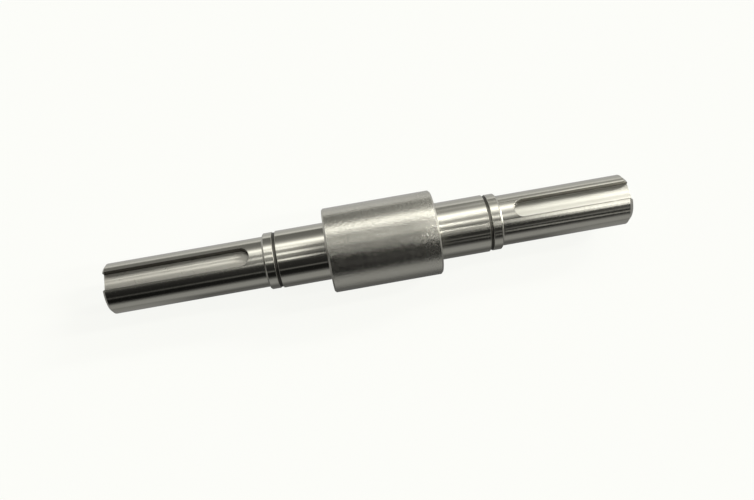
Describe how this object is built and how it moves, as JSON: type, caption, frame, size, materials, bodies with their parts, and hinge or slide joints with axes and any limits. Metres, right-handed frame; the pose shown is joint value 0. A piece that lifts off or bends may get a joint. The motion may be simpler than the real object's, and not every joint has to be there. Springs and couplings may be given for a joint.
{
  "type": "stepped drive shaft",
  "caption": "Turned steel shaft with a thick central drum, bearing seats with circlip grooves and collars, and journals with open rounded keyways.",
  "frame": {"origin": "on the shaft's axis, midway between the two end faces", "axes": "+X along the axis towards the shorter journal, +Z out of both keyways, +Y to complete the right-handed frame"},
  "size_m": [0.2278, 0.037, 0.037],
  "materials": {
    "ground_steel": "turned and ground bare steel with fine streaks along the axis"
  },
  "bodies": {
    "root": {"stepped_shaft": "ground_steel"}
  },
  "joints": []
}
